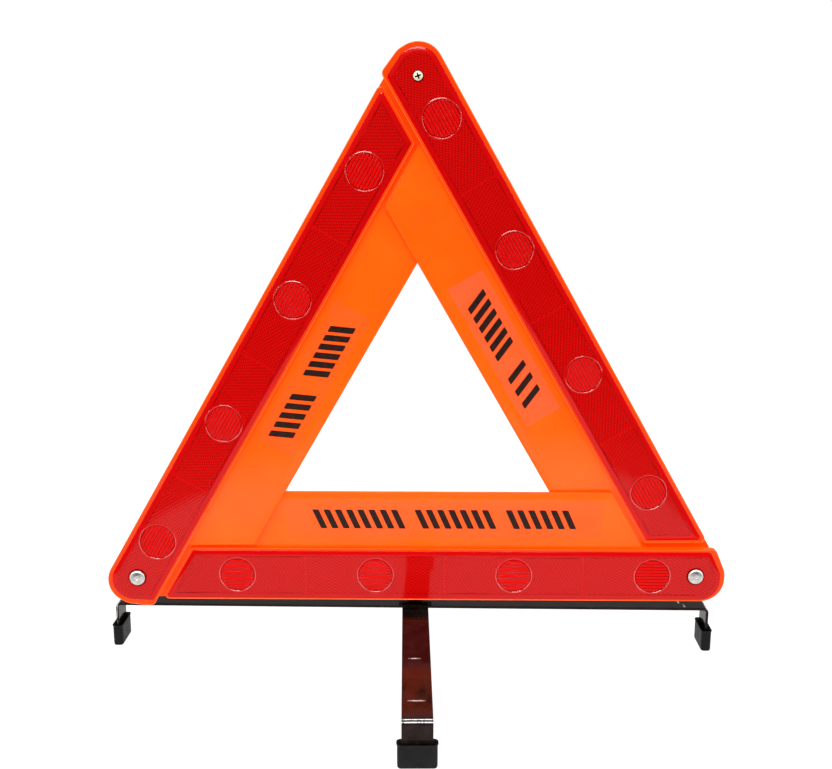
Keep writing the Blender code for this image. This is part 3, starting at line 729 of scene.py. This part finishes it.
def make_housing(name, matrix, body, outer_rim, open_tail):
    """An arm's orange moulding; its tail has a hole, or an open seat."""
    housing = solid(name, draw_box, outer_rim)
    combine(housing, "UNION", draw_panel)
    combine(housing, "UNION", draw_tail)
    combine(housing, "DIFFERENCE", draw_back_cells)
    bore = RIVET_RADIUS + HOLE_GAP
    combine(housing, "DIFFERENCE", draw_hole, 0.0, bore)
    if open_tail:
        combine(housing, "DIFFERENCE", draw_mouth)
    else:
        combine(housing, "DIFFERENCE", draw_hole, PIVOT_PITCH, bore)
    finish_piece(housing, ORANGE, body, matrix)


# ---- lenses

def inside(point, outline):
    """Whether a point lies in a closed outline."""
    odd = False
    for a, b in zip(outline, outline[-1:] + outline[:-1]):
        if (a.y > point.y) != (b.y > point.y):
            if point.x < a.x + (point.y - a.y) * (b.x - a.x) / (b.y - a.y):
                odd = not odd
    return odd


def prism_points(outline, ring):
    """Corner points of the prisms as (point, height). Fields alternate in direction."""
    row = PRISM * math.sin(ARM_ANGLE)
    reach = 22 * MM
    edges = [-HEAD_END] + SEAMS + [PIVOT_PITCH]
    points = []
    for field, (start, end) in enumerate(zip(edges, edges[1:])):
        turned = field % 2 == 0
        along, across = (end - start, 2 * reach) if not turned else (2 * reach, end - start)
        for j in range(int(across / row) + 1):
            for i in range(int(along / PRISM) + 2):
                u, v = (i + (j % 2) / 2) * PRISM, j * row
                x, y = (start + v, u - reach) if turned else (start + u, v - reach)
                point = Vector((x, y))
                if min(abs(x - seam) for seam in SEAMS) < SEAM_CLEAR:
                    continue
                disc = min((point - Vector((disc, 0))).length for disc in DISCS)
                if disc < DISC_RADIUS + DISC_CLEAR:
                    continue
                if point.length < ring + RING_CLEAR or not inside(point, outline):
                    continue
                kind = (i - j // 2 + 2 * (j % 2)) % 3
                points.append((point, (kind - 1) * PRISM_DEPTH))
    return points


# Steps of a disc's edge from outside, as (radius, height, relief): a rounded bead, whose relief of
# -1 gives it a bright coat, then a groove
DISC_RINGS = [
    (DISC_RADIUS + 0.9 * MM, 0.0, 1.0), (DISC_RADIUS + 0.55 * MM, 0.0, 1.0),
    (DISC_RADIUS + 0.3 * MM, 0.18 * MM, -1.0), (DISC_RADIUS, 0.3 * MM, -1.0),
    (DISC_RADIUS - 0.3 * MM, 0.2 * MM, -1.0), (DISC_RADIUS - 0.6 * MM, -0.2 * MM, 0.0),
    (DISC_RADIUS - 0.9 * MM, RIB_LOW, 0.0),
]


class Sketch:
    """Points and lines of a lens's front, with each point's height and relief."""

    def __init__(self):
        self.points, self.heights, self.reliefs, self.edges = [], [], [], []

    def point(self, place, height, relief):
        self.points.append(place)
        self.heights.append(height)
        self.reliefs.append(relief)

    def line(self, places, height, relief, closed=False):
        first = len(self.points)
        for place in places:
            self.point(place, height, relief)
        indices = list(range(first, len(self.points)))
        nexts = indices[1:] + indices[:1] if closed else indices[1:]
        self.edges.extend(zip(indices, nexts))
        return indices

    def circle(self, x, radius, height, relief):
        turns = [2 * math.pi * k / 64 for k in range(64)]
        places = [Vector((x + radius * math.cos(a), radius * math.sin(a))) for a in turns]
        self.line(places, height, relief, closed=True)


def sketch_seams(sketch, low, high):
    """Raised seams across the lens, where the prisms change direction."""
    for seam in SEAMS:
        for offset, rise in ((-SEAM_HALF, 0.0), (0.0, SEAM_HEIGHT), (SEAM_HALF, 0.0)):
            places = [Vector((seam + offset, low + (high - low) * k / 12)) for k in range(13)]
            sketch.line(places, rise, 1.0)


def sketch_disc(sketch, disc):
    """A disc's edge and its straight ribs."""
    for radius, height, relief in DISC_RINGS:
        sketch.circle(disc, radius, height, relief)
    shoulder = RIB_LOW * 0.2 + RIB_HIGH * 0.8
    rib_heights = [RIB_LOW, shoulder, RIB_HIGH, shoulder]
    reach = DISC_RINGS[-1][0] - 0.3 * MM
    count = 4 * int(2 * reach / RIB_PITCH)
    for k in range(count + 1):
        y = (k - count / 2) * RIB_PITCH / 4
        half = math.sqrt(reach ** 2 - y * y)
        places = [Vector((disc - half + 2 * half * t / 8, y)) for t in range(9)]
        sketch.line(places, rib_heights[k % 4], 0.0)


def draw_field(bm, relief, outer_rim, head_radius):
    """The lens's front inside its border: prisms, seams, the discs' ribs, and the head's ring."""
    corners = lens_corners(outer_rim)
    sketch = Sketch()
    rim = sketch.line(rounded(corners, LENS_BORDER, OUTLINE_STEPS), 0.0, 0.0, closed=True)
    sketch.edges.clear()  # the rim is given as the outline's face instead
    inner = rounded(corners, LENS_BORDER + 0.4 * MM, OUTLINE_STEPS)
    sketch.line(inner, 0.0, 1.0, closed=True)
    low = -OUTER_EDGE + outer_rim + LENS_BORDER + 0.8 * MM
    high = INNER_EDGE - INNER_RIM - LENS_BORDER - 0.8 * MM
    sketch_seams(sketch, low, high)
    for disc in DISCS:
        sketch_disc(sketch, disc)
    ring = head_radius + HEAD_GAP
    for radius, height in ((ring, 0.0), (ring - 0.15 * MM, -HEAD_GAP_DEPTH), (2.5 * MM, -HEAD_GAP_DEPTH)):
        sketch.circle(0.0, radius, height, 0.0)
    field = rounded(corners, LENS_BORDER + BORDER_CLEAR, OUTLINE_STEPS)
    for point, height in prism_points(field, ring):
        sketch.point(point, height, 1.0)
    flat, _, faces, origins, _, _ = delaunay_2d_cdt(sketch.points, sketch.edges, [rim], 1, WELD)
    rows = []
    for place, origin in zip(flat, origins):
        source = origin[0] if origin else rim[0]
        vert = bm.verts.new((place.x, place.y, -LENS_FRONT - sketch.heights[source]))
        vert[relief] = sketch.reliefs[source]
        rows.append(vert)
    for face in faces:
        bm.faces.new([rows[i] for i in face])
    return rows


def draw_lens(bm, outer_rim, head_radius):
    """One lens: a closed plate whose border steps up to its field of prisms and discs."""
    relief = bm.verts.layers.float.new("relief")
    face = bm.verts.layers.float.new("face")
    top, edge = LENS_FRONT / MM, LENS_EDGE / MM
    profile = [(0.3, LENS_BACK / MM), (0.05, LENS_BACK / MM + 0.1), (0.05, edge - 0.8),
               (-0.05, edge - 0.6), (-0.05, edge - 0.2), (0.05, edge - 0.05), (0.2, edge + 0.08),
               (0.45, edge + 0.18), (1.2, edge + 0.38),
               (2.0, edge + 0.56), (2.5, top - 0.07), (2.9, top - 0.01), (LENS_BORDER / MM, top)]
    profile = [(inset * MM, -height * MM) for inset, height in profile]
    rows = profile_loft(bm, lens_corners(outer_rim), profile, OUTLINE_STEPS)
    cap = [side for side in bm.faces if len(side.verts) == len(rows[-1])
           and all(vert in side.verts for vert in rows[-1][:3])]
    bmesh.ops.delete(bm, geom=cap, context="FACES_ONLY")
    for vert in draw_field(bm, relief, outer_rim, head_radius):
        vert[face] = 1.0


# ---- arms assembled

# Head and tail pivots, body, outer rim and the radius of the fastener's head
ARMS = {
    "bottom": (RIGHT_PIVOT, LEFT_PIVOT, "triangle", BOTTOM_RIM, RIVET_HEAD_RADIUS),
    "left": (LEFT_PIVOT, TOP_PIVOT, "left_arm", OUTER_RIM, RIVET_HEAD_RADIUS),
    "right": (TOP_PIVOT, RIGHT_PIVOT, "right_arm", OUTER_RIM, SCREW_HEAD_RADIUS),
}
# Printed dashes in mm: groups along the arm, then their lower and upper edge across it
DASHES = {
    "bottom": ([(86, 137), (143, 202), (208, 275)], 34, 48),
    "left": ([(137, 179), (187, 234)], 31, 47),
    "right": ([(143, 193), (200, 232)], 31, 47),
}


def make_label(side, matrix, body):
    """The film on an arm's panel and the dashes printed on it."""
    size = LONG_FILM if side == "bottom" else SHORT_FILM
    outline = rectangle(*size, 0.8 * MM)
    film = solid(side + "_label", draw_slab, outline, FILM_BACK, FILM_FRONT, 0.04 * MM)
    look = FILM if side == "right" else FAINT_FILM
    finish_piece(film, look, body, matrix)
    groups, low, high = DASHES[side]
    groups = [(start * MM, end * MM) for start, end in groups]
    marks = solid(side + "_dashes", draw_marks, groups, low * MM, high * MM, FILM_FRONT)
    finish_piece(marks, INK_BLACK, body, matrix)


def make_arms():
    """The three arms: housing, lens, label film and dashes of each."""
    for side, (head, tail, body, outer_rim, head_radius) in ARMS.items():
        matrix = arm_frame(head, tail)
        make_housing(side + "_housing", matrix, body, outer_rim, open_tail=side == "left")
        bm = bmesh.new()
        draw_lens(bm, outer_rim, head_radius)
        lens = to_mesh(bm, side + "_lens", 50)
        finish_piece(link_object(side + "_lens", lens), RED, body, matrix)
        make_label(side, matrix, body)


# ---- fasteners

def along_y(point):
    """A frame at point whose z axis looks to the front."""
    matrix = Matrix.Rotation(math.radians(90), 4, "X")
    matrix.translation = point
    return matrix


def dome(radius, height, base, edge=0.5 * MM, steps=10):
    """Crown of a domed head from near its middle to its edge, above z = base."""
    rise = height - edge
    points = []
    for k in range(1, steps + 1):
        angle = math.pi / 2 * k / steps
        points.append((radius * math.sin(angle), base + edge + rise * math.cos(angle)))
    return points + [(radius, base + 0.15 * MM), (radius - 0.15 * MM, base)]


def lens_height():
    """Front of a head's lens, from the pivot, towards the front."""
    return WEAVE / 2 - BACK_PLANE + LENS_FRONT


def make_corner_rivet(name, pivot, body):
    """A domed rivet with a dimple in its head, a formed end at the back, and its washer."""
    base = lens_height() + HEAD_SEAT
    top = base + RIVET_HEAD_HEIGHT
    back = pivot.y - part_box(name + "_washer")[1].y
    profile = [(radius * MM, top - depth * MM) for radius, depth in DIMPLE]
    profile += [point for point in dome(RIVET_HEAD_RADIUS, RIVET_HEAD_HEIGHT, base) if point[0] > 2 * MM]
    profile += [(RIVET_RADIUS, base), (RIVET_RADIUS, back - 0.2 * MM)]
    profile += [(radius * MM, back - depth * MM) for radius, depth in FORMED_END]
    rivet = solid(name, lathe, profile)
    finish_piece(rivet, ALUMINIUM, body, along_y(pivot))
    make_washer(name + "_washer", pivot, body, RIVET_RADIUS + BORE_GAP, ALUMINIUM)


def make_washer(name, pivot, body, bore, material):
    """A flat washer that fills its CAD box."""
    low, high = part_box(name)
    outer = (high.x - low.x) / 2
    front, back = pivot.y - low.y, pivot.y - high.y
    edge = 0.15 * MM
    profile = [(bore, front - edge), (bore + edge, front), (outer - edge, front), (outer, front - edge),
               (outer, back + edge), (outer - edge, back), (bore + edge, back), (bore, back + edge)]
    washer = solid(name, lathe, profile)
    finish_piece(washer, material, body, along_y(pivot))


def thread(radius, start, end):
    """Profile of rings standing for a screw thread, running down from start to end."""
    points = []
    root = radius - THREAD_DEPTH
    for k in range(int((start - end) / THREAD_PITCH)):
        z = start - k * THREAD_PITCH
        points += [(root, z), (radius, z - 0.3 * THREAD_PITCH), (root, z - 0.6 * THREAD_PITCH)]
    return points


def mark_recess_shade(mesh, radius, low, high):
    """Marks the faces inside a recess, within a radius and between two heights, for painted shade."""
    recess_shade = mesh.attributes.new("recess_shade", "FLOAT", "FACE")
    for face in mesh.polygons:
        x, y, z = face.center
        if math.hypot(x, y) < radius and low < z < high:
            recess_shade.data[face.index].value = 1.0


def make_top_screw(pivot, body):
    """The cross-recess screw that holds the right arm's head."""
    base = lens_height() + HEAD_SEAT
    top = base + SCREW_HEAD_HEIGHT
    end = pivot.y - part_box("top_screw")[1].y
    profile = [(0, top)] + dome(SCREW_HEAD_RADIUS, SCREW_HEAD_HEIGHT, base)
    profile += [(SCREW_RADIUS, base)] + thread(SCREW_RADIUS, base - 1 * MM, end + 0.6 * MM)
    profile += [(SCREW_RADIUS - 0.5 * MM, end), (0, end)]
    screw = solid("top_screw", lathe, profile)
    for angle in (0, 90):
        outline = rectangle(-RECESS[0], RECESS[0], -RECESS[1], RECESS[1], 0.3 * MM)
        combine(screw, "DIFFERENCE", draw_slab, outline, -top - 1 * MM, -top + RECESS_DEPTH,
                0.05 * MM, turn=math.radians(angle + 20))
    # The faces in the cross recess get painted shade.
    mark_recess_shade(screw.data, 2.3 * MM, base, top - 0.5 * MM)
    finish_piece(screw, ZINC, body, along_y(pivot))
    make_washer("top_screw_washer", pivot, body, SCREW_RADIUS + BORE_GAP, ZINC)
    make_nut(pivot, body)


def make_nut(pivot, body):
    """The hexagon nut on the top screw, with its corners turned off."""
    low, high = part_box("top_screw_nut")
    front, back = pivot.y - low.y, pivot.y - high.y
    radius = (high.x - low.x) / 2
    hexagon = [(radius * math.cos(a), radius * math.sin(a), 0.2 * MM)
               for a in (math.radians(60 * k) for k in range(6))]
    nut = solid("top_screw_nut", draw_slab, hexagon, -front, -back, 0.1 * MM)
    inner, outer, end = radius - 0.9 * MM, radius + 0.3 * MM, 0.1 * MM
    combine(nut, "INTERSECT", lathe, [
        (0, back - end), (inner, back - end), (outer, back + 0.8 * MM), (outer, front - 0.8 * MM),
        (inner, front + end), (0, front + end)])
    low, high = back - 1 * MM, front + 1 * MM
    combine(nut, "DIFFERENCE", lathe,
            [(0, low), (SCREW_RADIUS, low), (SCREW_RADIUS, high), (0, high)])
    finish_piece(nut, ZINC, body, along_y(pivot))


# ---- stand

def strip_corners(left, right, top):
    """Side view of a strip with both ends bent down into the feet."""
    low = FOOT_FLOOR + STRIP_FOOT_GAP
    outside = BEND_RADIUS + STRIP_THICKNESS
    inner_left, inner_right = left + STRIP_THICKNESS, right - STRIP_THICKNESS
    under = top - STRIP_THICKNESS
    tip = 0.3 * MM
    return [
        (left, low, tip), (inner_left, low, tip), (inner_left, under, BEND_RADIUS),
        (inner_right, under, BEND_RADIUS), (inner_right, low, tip), (right, low, tip),
        (right, top, outside), (left, top, outside),
    ]


def draw_strip(bm, left, right, top):
    """A bent flat strip, with two lines round each of its bends marked for painted highlights."""
    bend_highlight = bm.verts.layers.float.new("bend_highlight")
    half, edge, steps = STRIP_WIDTH / 2, 0.35 * MM, 10
    corners = strip_corners(left, right, top)
    loops = []
    for inset, y in ((edge, half), (edge * 0.3, half - edge * 0.3), (0, half - edge),
                     (0, edge - half), (edge * 0.3, edge * 0.3 - half), (edge, -half)):
        loops.append([(p.x, y, p.y) for p in rounded(corners, inset, steps)])
    # Points on two lines round each bend are marked for the painted highlight.
    for row in loft(bm, loops):
        for corner in (6, 7):
            for step in (3, 6):
                row[corner * (steps + 1) + step][bend_highlight] = 1.0


def on_ground(point, direction):
    """A frame on the ground under point, whose x axis runs along direction."""
    yaw = math.atan2(direction.y, direction.x)
    return Matrix.Translation((point.x, point.y, 0)) @ Matrix.Rotation(yaw, 4, "Z")


def make_strip(name, near, far, body, look):
    """near and far are the middles of its two feet on the ground."""
    along = far - near
    centre = near - along * near.dot(along) / along.length_squared
    left = -(centre - near).length - STRIP_THICKNESS / 2
    right = (far - centre).length + STRIP_THICKNESS / 2
    strip = solid(name, draw_strip, left, right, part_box(name)[1].z)
    finish_piece(strip, look, body, on_ground(centre, along))


def draw_foot(bm, height):
    """A rubber cap: swelling sides, a lip round its mouth, and the pocket for the strip."""
    x, y = FOOT_THICKNESS / 2, FOOT_LENGTH / 2
    wall = 2.0
    top = height / MM
    profile = [
        (0.7, 0.0), (0.2, 0.15), (-0.1, 0.6), (-0.25, 1.4), (-0.3, top * 0.5), (-0.3, top - 2.0),
        (-0.35, top - 1.3), (-0.5, top - 0.75), (-0.75, top - 0.4), (-0.7, top - 0.05), (-0.3, top),
        (0.3, top - 0.3), (0.8, top - 1.0), (wall - 0.6, top - 1.9), (wall - 0.1, top - 3.6),
        (wall, FOOT_FLOOR / MM)]
    profile_loft(bm, rectangle(-x, x, -y, y, 2.2 * MM), [(i * MM, z * MM) for i, z in profile], 10)


def make_foot(name, mount, body):
    """A rubber cap standing on its mount, turned to face outwards."""
    outward = Vector((mount.x, mount.y, 0)).normalized()
    foot = solid(name, draw_foot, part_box(name)[1].z)
    finish_piece(foot, RUBBER, body, on_ground(mount, outward))


def make_centre():
    """The central rivet and spacer; the bracket and its screws keep their CAD shape."""
    low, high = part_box("centre_rivet")
    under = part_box("cross_strip")[1].z - STRIP_THICKNESS
    shank, head = 2.6 * MM, (high.x - low.x) / 2
    base = high.z - 1.8 * MM
    profile = [(0, high.z)] + dome(head, high.z - base, base) + [
        (shank, base), (shank, under - 0.3 * MM), (head - 0.2 * MM, under - 0.3 * MM),
        (head, under - 0.6 * MM), (head * 0.85, low.z + 0.3 * MM), (head * 0.6, low.z), (0, low.z)]
    rivet = solid("centre_rivet", lathe, profile)
    finish_piece(rivet, PAINT, "stand")
    low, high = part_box("centre_spacer")
    outer, edge = (high.x - low.x) / 2, 0.3 * MM
    ring = [(shank + BORE_GAP, high.z), (outer - edge, high.z), (outer, high.z - edge),
            (outer, low.z + edge), (outer - edge, low.z), (shank + BORE_GAP, low.z)]
    spacer = solid("centre_spacer", lathe, ring)
    finish_piece(spacer, PAINT, "stand")
    for name in ("bracket", "bracket_screw_left", "bracket_screw_right"):
        node = frame["nodes"][name]
        node.data.materials.clear()
        node.data.materials.append(PAINT)
        bevel = node.modifiers.new("edges", "BEVEL")
        bevel.width = 0.2 * MM
        bevel.segments = 2
        bevel.limit_method = "ANGLE"


# ---- studio

def make_floor():
    """A pale floor, of which the object's glossy faces mirror only the lit round near them."""
    half = 2.6
    mesh = bpy.data.meshes.new("floor")
    mesh.from_pydata([(-half, -half, 0), (half, -half, 0), (half, half, 0), (-half, half, 0)],
                     [], [(0, 1, 2, 3)])
    floor = link_object("floor", mesh)
    material, g, where = new_material("floor")
    path = g.node("LightPath")
    bounce = g.node("BsdfDiffuse", Color=(0.35, 0.35, 0.35, 1))
    away = g.node("VectorMath", {"operation": "DISTANCE"}, Vector=where)
    away.inputs[1].default_value = LIT_MIDDLE
    near = g.ramp(away.outputs["Value"], LIT_RADIUS, LIT_RADIUS - 0.015)
    behind = g.times(g.ramp(g.axis(where, "Y"), -0.28, -0.26),
                     g.ramp(g.sum(g.axis(where, "X"), 0.0, "ABSOLUTE"), 0.45, 0.42))
    glow = g.ramp(g.sum(near, behind, "MAXIMUM"), 0.0, 1.0, 0.02, 0.85)
    mirrored = g.node("Emission", Color=(1, 1, 1, 1), Strength=glow)
    seen = g.node("AddShader")
    g.feed(seen.inputs[0], g.node("Emission", Color=(1, 1, 1, 1), Strength=0.93))
    g.feed(seen.inputs[1], g.node("BsdfDiffuse", Color=(0.16, 0.16, 0.16, 1)))
    unseen = g.mix(path.outputs["Is Glossy Ray"], bounce, mirrored)
    g.output(g.mix(path.outputs["Is Camera Ray"], unseen, seen))
    floor.data.materials.append(material)


def make_world():
    """White behind the object, a dark room in its reflections, and an even soft fill."""
    world = bpy.data.worlds.new("studio")
    bpy.context.scene.world = world
    world.use_nodes = True
    g = Graph(world.node_tree)
    path = g.node("LightPath")
    fill = g.node("Background", Color=(1, 1, 1, 1), Strength=0.42)
    ahead = g.axis(g.node("TexCoord").outputs["Generated"], "Y")
    room = g.node("Background", Color=(0.95, 0.97, 1, 1), Strength=g.ramp(ahead, -0.05, 0.1, 0.03, 0.35))
    white = g.node("Background", Color=(1, 1, 1, 1), Strength=1.0)
    mirrored = g.mix(path.outputs["Is Glossy Ray"], fill, room)
    seen = g.mix(path.outputs["Is Camera Ray"], mirrored, white)
    g.node("OutputWorld", Surface=seen)


def area_light(name, place, target, size, power, mirrored=True):
    data = bpy.data.lights.new(name, "AREA")
    data.shape = "RECTANGLE"
    data.size, data.size_y = size
    data.energy = power
    light = link_object(name, data)
    light.location = place
    aim = (Vector(target) - Vector(place)).to_track_quat("-Z", "Y")
    light.rotation_euler = aim.to_euler()
    light.visible_glossy = mirrored


def make_camera():
    """A camera a little over the triangle's middle height, looking down on it."""
    yaw, pitch, roll = [math.radians(turn) for turn in CAMERA_TURNS]
    right = Vector((math.cos(yaw), -math.sin(yaw), 0))
    ahead = Vector((math.sin(yaw), math.cos(yaw), 0))
    look = ahead * math.cos(pitch) + Vector((0, 0, math.sin(pitch)))
    up = right.cross(look)
    across = right * math.cos(roll) + up * math.sin(roll)
    upright = up * math.cos(roll) - right * math.sin(roll)
    data = bpy.data.cameras.new("camera")
    data.sensor_width = SENSOR
    data.lens = SENSOR * FOCUS / PICTURE_WIDTH
    data.clip_start = 0.01
    camera = link_object("camera", data)
    rotation = Matrix((across, upright, -look)).transposed().to_4x4()
    camera.matrix_world = Matrix.Translation(CAMERA_PLACE) @ rotation
    bpy.context.scene.camera = camera


def make_studio():
    """Floor, surroundings, soft lights and the camera."""
    make_floor()
    make_world()
    area_light("key", (-0.15, -0.95, 1.25), (0, 0, 0.3), (0.9, 0.5), 14)
    area_light("top", (0.1, 0.3, 1.7), (0, 0, 0.2), (1.6, 1.2), 16)
    area_light("low", (0, -0.3, 0.03), (0, 0, 0.06), (0.6, 0.05), 0.6, mirrored=False)
    area_light("back", (0.5, 1.4, 1.3), (0, 0, 0.2), (1.2, 1.0), 12, mirrored=False)
    area_light("left", (-1.6, -0.6, 0.8), (0, 0, 0.2), (0.8, 1.4), 9)
    area_light("right", (1.6, -0.6, 0.8), (0, 0, 0.2), (0.8, 1.4), 9)
    make_camera()
    bpy.context.scene.view_settings.view_transform = "Standard"


make_arms()
make_corner_rivet("left_rivet", LEFT_PIVOT, "triangle")
make_corner_rivet("right_rivet", RIGHT_PIVOT, "triangle")
make_top_screw(TOP_PIVOT, "right_arm")
make_strip("bar", MOUNTS["foot_left"], MOUNTS["foot_right"], "stand", PAINT)
make_strip("cross_strip", MOUNTS["foot_front"], MOUNTS["foot_back"], "cross", LEG_PAINT)
for strip, body, ends in (("bar", "stand", ("left", "right")), ("cross", "cross", ("front", "back"))):
    for end in ends:
        make_foot(f"{strip}_foot_{end}", MOUNTS["foot_" + end], body)
make_centre()
make_studio()
